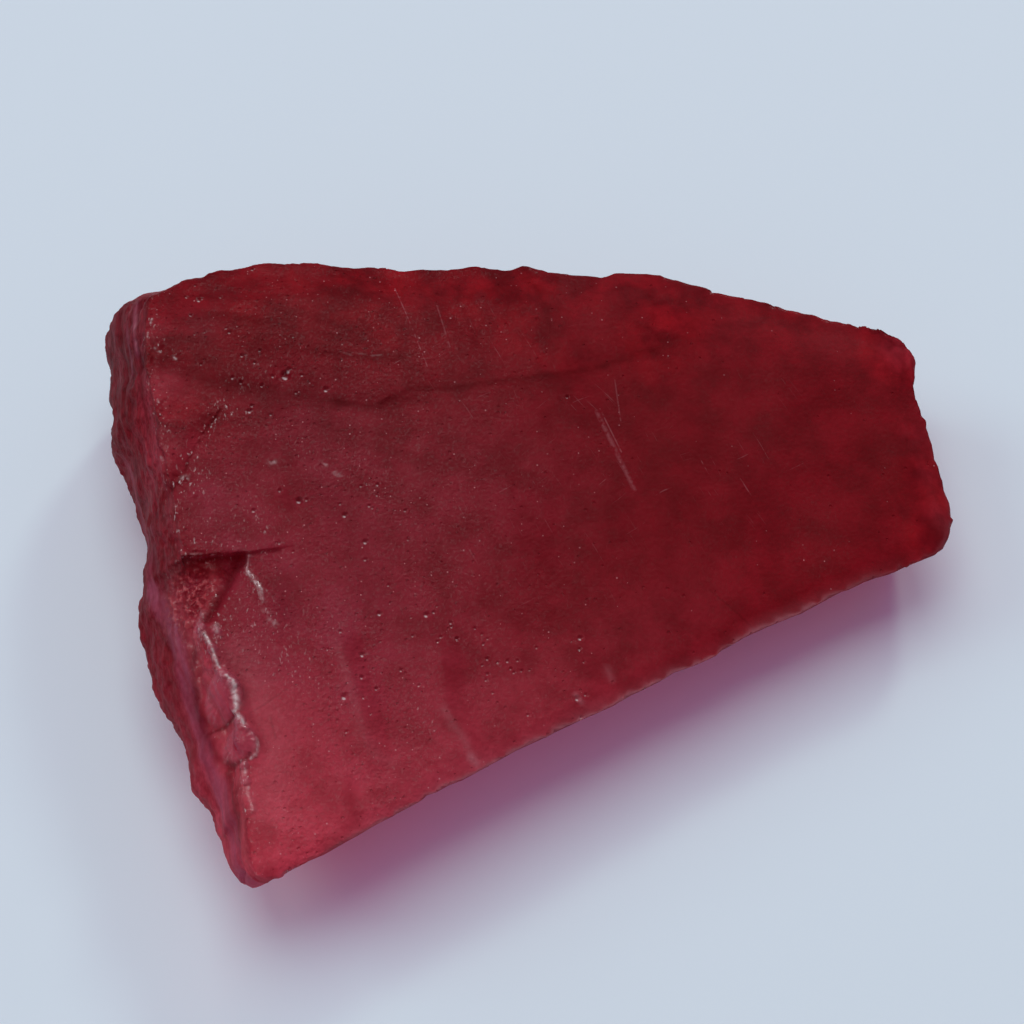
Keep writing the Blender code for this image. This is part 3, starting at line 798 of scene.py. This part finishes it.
    # A painted sheen: a soft reflection of a lamp on the worn face.
    painted_sheens: tuple[Patch, ...] = patches(
        (-8, 2, 9, 0.5), (-14, -3, 6, 0.7), (-10.2, -8.6, 6.4, 0.8), (-13, 7, 5, 0.4),
        (-5, -6, 6, 0.25), (0, 4, 7, 0.2), (-18.5, -2.2, 0.7, 0.6), (-14.6, -8, 1.6, 0.3),
        (-17.6, 2.5, 3, 0.8), (-16.5, -0.5, 2, 0.4), (-11.5, -14.5, 2.5, 0.3))
    scuffs: tuple[Patch, ...] = patches(
        (5, 7.5, 4, 0.45), (11, 6, 4, 0.3), (-1, 12.5, 5, 0.25), (0, 2, 7, 0.2),
        (14, 8.5, 4, 0.25), (-7, 14, 4, 0.3))
    grain_bearing: float = -8.0
    stone: bpy.types.Object = field(init=False)
    points: Array = field(init=False)
    normals: Array = field(init=False)
    layers: dict[Mark, Array] = field(init=False)

    def build(self) -> bpy.types.Object:
        """Copies the solid, refines it, carves it and paints it.

        Returns:
            The finished stone.
        """
        self.copy_solid()
        self.refine()
        self.sort_sides()
        self.carve_break()
        self.carve_sides()
        self.carve_face()
        self.paint()
        bpy.context.view_layer.objects.active = self.stone
        self.stone.select_set(True)
        bpy.ops.object.shade_smooth()
        return self.stone

    def copy_solid(self) -> None:
        """Starts from the solid's mesh, with its loose triangles merged."""
        bpy.ops.object.select_all(action="DESELECT")
        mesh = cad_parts["rough_ruby"].data.copy()
        mesh.name = "ruby_stone"
        self.stone = bpy.data.objects.new("ruby_stone", mesh)
        bpy.context.scene.collection.objects.link(self.stone)
        bpy.context.view_layer.objects.active = self.stone
        self.stone.select_set(True)
        bpy.ops.object.mode_set(mode="EDIT")
        bpy.ops.mesh.select_all(action="SELECT")
        bpy.ops.mesh.remove_doubles(threshold=self.merge_gap * MM)
        flat = math.radians(self.facet_turn)
        bpy.ops.mesh.tris_convert_to_quads(face_threshold=flat, shape_threshold=flat)
        bpy.ops.mesh.faces_shade_smooth()
        bpy.ops.object.mode_set(mode="OBJECT")

    def refine(self) -> None:
        """Rounds the facets off, thins the hidden underside and gives the detailed areas a finer mesh."""
        smooth = self.stone.modifiers.new("rounding", "SUBSURF")
        smooth.levels = self.rounding
        smooth.render_levels = self.rounding
        bpy.ops.object.modifier_apply(modifier=smooth.name)
        self.thin(0.05, lambda centre, normal: normal[:, 2] < -0.6)
        self.thin(0.2, lambda centre, normal: (normal[:, 2] < -0.3) & (centre[:, 0] > -11.0))
        self.thin(0.4, lambda centre, normal: (normal[:, 2] > 0.97) & (centre[:, 0] > 4.0))
        self.scatter_pits()
        for finest in (False, True):
            self.choose(self.wants_detail(finest))
            bpy.ops.object.mode_set(mode="EDIT")
            bpy.ops.mesh.subdivide(number_cuts=1, quadcorner="INNERVERT")
            bpy.ops.object.mode_set(mode="OBJECT")
            LOG.info("refined: %d faces", len(self.stone.data.polygons))

    def thin(self, ratio: float, where: Callable[[Array, Array], Array]) -> None:
        """Leaves only a share of the faces in a plain area.

        Args:
            ratio: The share that is left.
            where: Tells from the faces' middles and normals which faces are in the area.
        """
        self.choose(where(*self.read_faces()))
        bpy.ops.object.mode_set(mode="EDIT")
        bpy.ops.mesh.decimate(ratio=ratio)
        bpy.ops.object.mode_set(mode="OBJECT")

    def scatter_pits(self) -> None:
        """Adds many small pits to the named ones, in loose clusters on the left half of the face."""
        dice = np.random.default_rng(self.pit_seed)
        middles = [(pit.x, pit.y) for pit in self.pits]
        extra = []
        for _ in range(self.small_pits):
            x, y = middles[dice.integers(len(middles))]
            radius = dice.uniform(0.08, 0.15)
            x += dice.normal(0.0, 1.6)
            y += dice.normal(0.0, 1.6)
            extra.append(Pit(x, y, radius, 0.6 * radius, 0.008))
        self.pits = self.pits + tuple(extra)

    def read_faces(self) -> tuple[Array, Array]:
        """Reads the middles of the mesh's faces, in millimetres, and their normals."""
        faces = self.stone.data.polygons
        return read_rows(faces, "center") / MM, read_rows(faces, "normal")

    def wants_detail(self, finest: bool) -> Array:
        """Tells which faces of the mesh are divided for the carving.

        Args:
            finest: Whether only the crests, beads, grooves and pits count.

        Returns:
            True or False for each face.
        """
        centre, normal = self.read_faces()
        upper = normal[:, 2] > 0.3
        wanted = np.zeros(len(centre), bool)
        for line in (*self.crests, *self.grooves, *self.glints, Trace(self.ledge, 0.2), self.diagonal):
            wanted |= line.distance(centre) < 1.7 * line.width + 0.06
        for pit in self.pits:
            wanted |= pit.away(centre) < 1.15 + 0.06 / pit.radius
        for bead in self.beads:
            wanted |= bead.away(centre) < 1.15
        for patch in self.recess:
            wanted |= patch.away(centre) < 0.8
        wanted &= upper
        if not finest:
            wanted |= (normal[:, 0] < -0.40) & (normal[:, 2] > -0.5)
            wanted |= (Trace(self.left_rim + self.low_rim, 1.0).distance(centre) < 1.4) & upper
        return wanted

    def choose(self, wanted: Array) -> None:
        """Selects some of the mesh's faces, and nothing else.

        Args:
            wanted: True or False for each face.
        """
        bpy.ops.object.mode_set(mode="EDIT")
        bpy.ops.mesh.select_mode(type="FACE")
        bpy.ops.mesh.select_all(action="DESELECT")
        bpy.ops.object.mode_set(mode="OBJECT")
        self.stone.data.polygons.foreach_set("select", wanted)
        self.stone.data.update()

    def sort_sides(self) -> None:
        """Works out how much each point belongs to the face, the foot and each side."""
        self.points = read_rows(self.stone.data.vertices, "co") / MM
        self.normals = read_rows(self.stone.data.vertex_normals, "vector")
        right, back, up = self.normals.T
        self.face = ease(0.72, 0.93, up)
        self.rim = ease(0.40, 0.70, up) * (1.0 - ease(0.86, 0.97, up))
        self.foot = 1.0 - ease(0.02, 0.25, self.points[:, 2])
        flank = (1.0 - self.face) * (1.0 - self.foot)
        bearing = np.degrees(np.arctan2(right, back))
        bearing = np.where(bearing < Side.BREAK.value[0], bearing + 360.0, bearing)
        self.sides = {}
        soft = self.side_blend
        for side in Side:
            low, high = side.value
            past_low = ease(low - soft, low + soft, bearing)
            self.sides[side] = past_low * (1.0 - ease(high - soft, high + soft, bearing)) * flank
        level = self.top_height + self.top_lean_right * self.points[:, 0]
        self.depth = level + self.top_lean_back * self.points[:, 1] - self.points[:, 2]

    def move(self, lift: Array) -> None:
        """Moves the points along their normals, the foot excepted.

        Args:
            lift: How far each point moves outwards, in millimetres.
        """
        self.points += self.normals * (lift * (1.0 - self.foot))[:, None]
        self.points[:, 2] = np.maximum(self.points[:, 2], 0.0)
        mesh = self.stone.data
        mesh.vertices.foreach_set("co", (self.points * MM).ravel())
        mesh.update()

    def carve_break(self) -> None:
        """Carves the broken left side: layers that run along it, fibres and shell-like chips."""
        places = self.points
        layered = np.column_stack((places[:, 0] * 0.3, places[:, 1], self.depth))
        self.bands = rough(layered, 1.0, 3, (2.4, 6.0, 0.6), 3.1)
        self.fibres = rough(layered, 1.0, 2, (2.4, 14.0, 0.22), 9.4)
        chips = flakes(layered, 1.0, (2.8, 3.4, 2.2), 5.2) + 0.5 * rough(places, 2.0, 3, offset=2.9)
        fine = rough(places, 0.42, 3, (1.0, 1.8, 1.0), 12.3)
        smooth = sum(sheen_strip.mask(places) for sheen_strip in self.sheen_strips)
        smooth += sum(1.0 - ease(0.9, 1.4, bead.away(places)) for bead in self.beads)
        smooth += self.smooth_tip.effect(places)
        self.low = 1.0 - ease(-12.0, 2.0, places[:, 1])
        lift = 0.09 * self.bands - 0.13 * np.abs(self.fibres) + 0.11 * fine
        lift += (0.20 + 0.16 * self.low) * (chips - 0.45)
        self.move(self.sides[Side.BREAK] * lift * (1.0 - 0.9 * unit(smooth)))

    def carve_sides(self) -> None:
        """Carves the back, the narrow end and the undercut front, and shapes the corners."""
        places = self.points
        lift = 0.17 * (flakes(places, 2.2, offset=1.7) - 0.45)
        lift += 0.09 * (flakes(places, 0.9, offset=6.3) - 0.45) + 0.07 * rough(places, 1.1, 4, offset=2.2)
        sides = self.sides[Side.BACK] + self.sides[Side.END] + 0.35 * self.sides[Side.FRONT]
        self.move(unit(sides) * lift * ease(0.1, 1.6, places[:, 2]))
        self.move(self.rim * (0.06 - 0.04 * self.near_front()) * rough(places, 0.8, 2, offset=4.4))
        self.move(unit(sum(self.sides.values()) + self.rim) * total(self.corners, places))

    def carve_face(self) -> None:
        """Carves the worn face: swells, ledge, grooves, crests, beads, rubble and pits."""
        places = self.points
        x, y, _ = places.T
        lift = 0.03 * rough(places, 3.0, 3, offset=7.7)
        left = (1.0 - ease(-14.0, 0.0, x)) * (0.3 + 0.7 * ease(-3.0, 5.0, y))
        lift += 0.022 * left * rough(self.along_grain(), 1.0, 3, (5.0, 0.8, 1.0), 2.6)
        lift += 0.020 * (1.0 - 0.8 * ease(-8.0, 8.0, x)) * rough(places, 0.9, 2, offset=1.9)
        lift += total(self.swells, places) + total(self.grooves, places)
        lift += total((*self.crests, self.salmon), places) * (1.0 + 0.4 * rough(places, 0.7, 2, offset=1.1))
        lift += self.diagonal.effect(places) * (0.5 + rough(places, 0.9, 2, offset=5.8))
        along = [spot[0] for spot in self.ledge]
        step = np.interp(x, along, self.ledge_heights) * Trace(self.ledge, 0.45).mask(places)
        lift += np.where(y > np.interp(x, along, [spot[1] for spot in self.ledge]), step, -step)
        lift += 0.10 * unit(total(self.rubble, places)) * rough(places, 0.5, 3, offset=8.8)
        self.crumbs = rough(places, 0.28, 3, offset=8.8)
        lift += 0.13 * unit(total(self.recess, places)) * self.crumbs
        lift += 0.05 * Trace(self.left_rim, 0.5).mask(places) * rough(places, 0.8, 5, offset=3.9)
        lift += sum(pit.relief(places) for pit in self.pits)
        self.move(unit(self.face + 0.8 * self.rim) * lift)
        self.move(ease(0.1, 0.4, self.normals[:, 2]) * sum(bead.relief(places) for bead in self.beads))

    def along_grain(self) -> Array:
        """Turns the points so that X follows the faint lines that fan out from the broken side.

        Returns:
            The turned points, in millimetres.
        """
        turn = math.radians(self.grain_bearing)
        x, y, z = self.points.T
        return np.column_stack((x * math.cos(turn) + y * math.sin(turn),
                                y * math.cos(turn) - x * math.sin(turn), z))

    def near_front(self) -> Array:
        """Gives each point 1 on the front edge, falling to 0 about 5 mm away from it."""
        return Trace(self.front_rim, 5.0).mask(self.points)

    def paint(self) -> None:
        """Paints the areas that the finish reads."""
        self.top = unit(self.face + self.rim)
        self.side = self.sides[Side.BREAK]
        self.front = self.near_front()
        self.chipped = Trace(self.left_rim + self.low_rim, 0.6).mask(self.points)
        self.wet = sum(1.0 - ease(0.8, 1.15, bead.away(self.points)) for bead in self.beads)
        self.crest = sum(crest.mask(self.points) for crest in self.crests)
        self.layers = {}
        self.paint_reds()
        self.paint_shade()
        self.paint_texture()
        self.paint_gloss()
        self.paint_edge_highlights()
        for mark in Mark:
            attribute = self.stone.data.attributes.new(mark.value, "FLOAT", "POINT")
            attribute.data.foreach_set("value", unit(self.layers[mark]).astype(np.float32))

    def paint_reds(self) -> None:
        """Paints the painted glow through thin parts, the clear mottled areas with their painted glow, the
        painted sheen, and the painted purplish sheen on bands of the broken side.
        """
        x, y, _ = self.points.T
        low = 1.0 - ease(-16.0, 2.0, y)
        sheen_strip = unit(sum(line.height * (1.0 - ease(0.35, 1.35, line.distance(self.points) / line.width))
                         for line in self.sheen_strips))
        # Painted glow where light would shine through thin parts: the lower broken side, the beads and the
        # front edge.
        glow = total(self.glows, self.points)
        glow += self.side * (0.14 + low * (0.30 + 0.5 * sheen_strip)) + 0.8 * self.wet
        glow += 0.60 * self.front * (1.0 - ease(-8.0, 16.0, x)) * self.face
        tone, self.seam = shells(self.points, 1.9, offset=4.1)
        # Clear areas along the back and end, brightened as painted light shining through them.
        clear = total(self.clear_glows, self.points) + 0.3 * ease(15.0, 18.0, y)
        # The painted purplish sheen on the broken side and the beads.
        mauve = sheen_strip * (1.0 - self.face) + 0.30 * self.wet
        mauve += 0.10 * self.side * ease(0.0, 0.3, self.fibres)
        self.layers[Mark.GLOW] = glow
        self.layers[Mark.CLEAR] = clear * (0.35 + 1.25 * tone)
        # A painted sheen on the worn face.
        self.layers[Mark.VEIL] = 0.8 * total(self.painted_sheens, self.points) * self.face
        self.layers[Mark.MAUVE] = mauve * (0.9 + 0.7 * self.fibres)

    def paint_shade(self) -> None:
        """Paints the painted shade of the dark bands, grooves, seams and layers, the darker streaks along
        the grain, and the dark diagonal crack.
        """
        x, y, _ = self.points.T
        shade = total(self.shades, self.points) + 0.14 * self.side * ease(-3.0, 6.0, y)
        shade += 0.35 * self.side * ease(0.05, 0.3, -self.bands)
        shade += 0.35 * self.seam * unit(self.layers[Mark.CLEAR])
        streaks = ease(0.0, 0.35, rough(self.along_grain(), 1.0, 3, (7.0, 0.6, 1.0), 6.6))
        shade += 0.18 * (1.0 - ease(-14.0, 4.0, x)) * ease(1.0, 8.0, y) * self.face * streaks
        ragged = ease(-0.25, 0.25, rough(self.points, 0.35, 2, offset=5.8))
        shade += 0.7 * self.diagonal.mask(self.points) * ragged
        large = self.beads[:2]
        # A painted shade around the two large beads.
        self.layers[Mark.SHADE] = shade + 0.45 * sum(bead.hem(self.points) for bead in large)

    def paint_texture(self) -> None:
        """Paints the crumbly recess, the pitted face, the layers of the break and the worn places."""
        wet = unit(self.wet)
        coral = self.coral.mask(self.points)
        recess = unit(total(self.recess, self.points)) * self.top
        self.crumb = np.maximum(recess, coral) * ease(0.05, 0.40, self.crumbs) * (1.0 - 0.8 * wet)
        self.crumb += 0.20 * self.chipped * ease(-0.1, 0.5, self.crumbs) * self.top
        self.crumb += 0.4 * self.salmon.mask(self.points)
        clusters = ease(-0.35, 0.35, rough(self.points, 3.2, 2, offset=4.9))
        pitted = self.face * (1.0 - 0.9 * ease(-14.0, 12.0, self.points[:, 0]))
        layered = self.side * (1.0 - 0.5 * self.low) * (1.0 - 0.8 * unit(self.layers[Mark.MAUVE]))
        self.layers[Mark.CRUMB] = 0.85 * self.crumb
        self.layers[Mark.PITTED] = pitted * (0.35 + 0.65 * clusters)
        self.layers[Mark.LAYERED] = layered * (1.0 - wet) * (1.0 - coral)
        self.layers[Mark.SCUFFED] = total(self.scuffs, self.points) * self.face

    def paint_gloss(self) -> None:
        """Paints the wet film and the small highlights."""
        gloss = self.crest + 0.15 * self.wet + 0.35 * self.crumb
        gloss += sum(pit.wet(self.points) for pit in self.pits)
        dull = unit(1.2 * self.layers[Mark.SHADE])
        gloss += 0.08 * (1.0 - 0.7 * ease(-9.0, 9.0, self.points[:, 0])) * (1.0 - dull)
        broken = ease(-0.45, 0.10, rough(self.points, 0.45, 2, offset=2.8))
        broken *= 0.40 + 0.60 * ease(-0.25, 0.15, rough(self.points, 0.20, 2, offset=6.1))
        in_pits = sum(5.0 * pit.radius * pit.glint(self.points) for pit in self.pits)
        glint = np.maximum(total(self.glints, self.points) * broken, in_pits)
        sparkle = total(self.sparkles, self.points) + 0.15 * self.chipped
        plain = 1.0 - self.top - self.side
        self.layers[Mark.GLOSS] = gloss * self.top + 0.015 * self.side + 0.03 * plain
        self.layers[Mark.GLINT] = glint * self.top
        self.layers[Mark.SPARKLE] = sparkle * self.top

    def paint_edge_highlights(self) -> None:
        """Paints the pale edges and lines: painted highlights on the front edge, the crests and the swells,
        painted sheen lines on the broken side, and a little wear on the chipped rim.
        """
        x = self.points[:, 0]
        turned = self.sides[Side.FRONT] * ease(-0.5, 0.0, self.normals[:, 2])
        # A painted highlight along the thin front edge.
        edge = (self.rim + turned) * 0.6 * self.front * (1.0 - 0.8 * ease(14.0, 23.0, x))
        edge *= 0.3 + 0.7 * ease(-12.0, -5.0, x)
        # A little wear on the chipped rim, and a painted highlight on the crests.
        edge += 0.10 * self.rim * self.chipped + 0.25 * self.crest * self.top
        # Painted highlights and sheen lines on the worn face.
        edge += total(self.pale, self.points) * self.face
        drawn = ease(-0.3, 0.2, self.fibres + 0.5 * rough(self.points, 0.8, 2, offset=3.3))
        # Painted sheen lines along the layers of the broken side.
        self.layers[Mark.RIM] = edge + total(self.sheen_threads, self.points) * self.side * drawn


@dataclass(frozen=True)
class Lamp:
    """A soft square lamp that looks at the stone. Lengths are in metres and angles in degrees."""

    name: str
    bearing: float
    elevation: float
    size: float
    power: float
    colour: Colour = (1.0, 1.0, 1.0)
    distance: float = 2.5


@dataclass
class Studio:
    """The table, the lamps and the camera. Lengths are in metres and angles in degrees."""

    lamps: tuple[Lamp, ...] = (
        Lamp("overhead", -18.0, 72.0, 2.00, 29.0, (1.0, 0.99, 0.98)),
        Lamp("left_soft", -75.0, 35.0, 1.25, 14.0, (0.97, 0.98, 1.0)),
        Lamp("sparkle", 24.0, 32.0, 0.36, 12.0))
    sky: Colour = (0.86, 0.92, 1.0)
    sky_strength: float = 0.25
    table_colour: Colour = (0.70, 0.785, 0.89)
    table_roughness: float = 0.7
    table_size: float = 3.0
    table_gap: float = 0.0001
    camera_elevation: float = 57.0
    camera_distance: float = 0.165
    camera_target: Spot = (-0.00055, 0.00561, 0.004)
    photo_scale: float = 0.059 * MM
    photo_width: int = 1024
    sensor: float = 36.0
    nearest: float = 0.005

    def build(self) -> None:
        """Sets up the table, the lamps, the sky and the camera."""
        bpy.context.scene.view_settings.view_transform = "Standard"
        self.lay_table()
        for lamp in self.lamps:
            self.hang(lamp)
        world = bpy.data.worlds.new("studio")
        world.use_nodes = True
        sky = world.node_tree.nodes["Background"]
        sky.inputs["Color"].default_value = (*self.sky, 1.0)
        sky.inputs["Strength"].default_value = self.sky_strength
        bpy.context.scene.world = world
        self.place_camera()

    def lay_table(self) -> None:
        """Lays a plain pale table just under the stone's foot."""
        bpy.ops.object.select_all(action="DESELECT")
        bpy.ops.mesh.primitive_plane_add(size=self.table_size, location=(0.0, 0.0, -self.table_gap))
        table = bpy.context.active_object
        table.name = "table"
        paper = bpy.data.materials.new("pale_table")
        paper.use_nodes = True
        shader = paper.node_tree.nodes["Principled BSDF"]
        shader.inputs["Base Color"].default_value = (*self.table_colour, 1.0)
        shader.inputs["Roughness"].default_value = self.table_roughness
        table.data.materials.append(paper)

    def hang(self, lamp: Lamp) -> None:
        """Hangs one lamp.

        Args:
            lamp: The lamp's place, size, power and colour.
        """
        light = bpy.data.lights.new(lamp.name, "AREA")
        light.size = lamp.size
        light.energy = lamp.power
        light.color = lamp.colour
        holder = bpy.data.objects.new(lamp.name, light)
        bpy.context.scene.collection.objects.link(holder)
        bearing = math.radians(lamp.bearing)
        elevation = math.radians(lamp.elevation)
        direction = Vector((math.sin(bearing) * math.cos(elevation),
                            math.cos(bearing) * math.cos(elevation), math.sin(elevation)))
        holder.location = direction * lamp.distance
        holder.rotation_euler = direction.to_track_quat("Z", "Y").to_euler()

    def place_camera(self) -> None:
        """Puts the camera where the photograph was taken from."""
        data = bpy.data.cameras.new("camera")
        data.sensor_width = self.sensor
        data.lens = self.camera_distance / self.photo_scale / self.photo_width * self.sensor
        data.clip_start = self.nearest
        camera = bpy.data.objects.new("camera", data)
        bpy.context.scene.collection.objects.link(camera)
        elevation = math.radians(self.camera_elevation)
        forward = Vector((0.0, math.cos(elevation), -math.sin(elevation)))
        camera.location = Vector(self.camera_target) - forward * self.camera_distance
        camera.rotation_euler = forward.to_track_quat("-Z", "Y").to_euler()
        bpy.context.scene.camera = camera


def main() -> None:
    """Builds the studio and the stone, and ties the stone to the solid."""
    logging.basicConfig(level=logging.INFO, format="%(name)s: %(message)s")
    Studio().build()
    LOG.info("studio: ready")
    stone = RoughRuby().build()
    stone.data.materials.clear()
    stone.data.materials.append(RubySkin().build())
    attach(stone, "root")
    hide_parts("rough_ruby")
    stone.data.calc_loop_triangles()
    LOG.info("ruby_stone: %d triangles", len(stone.data.loop_triangles))


if __name__ == "__main__":
    main()
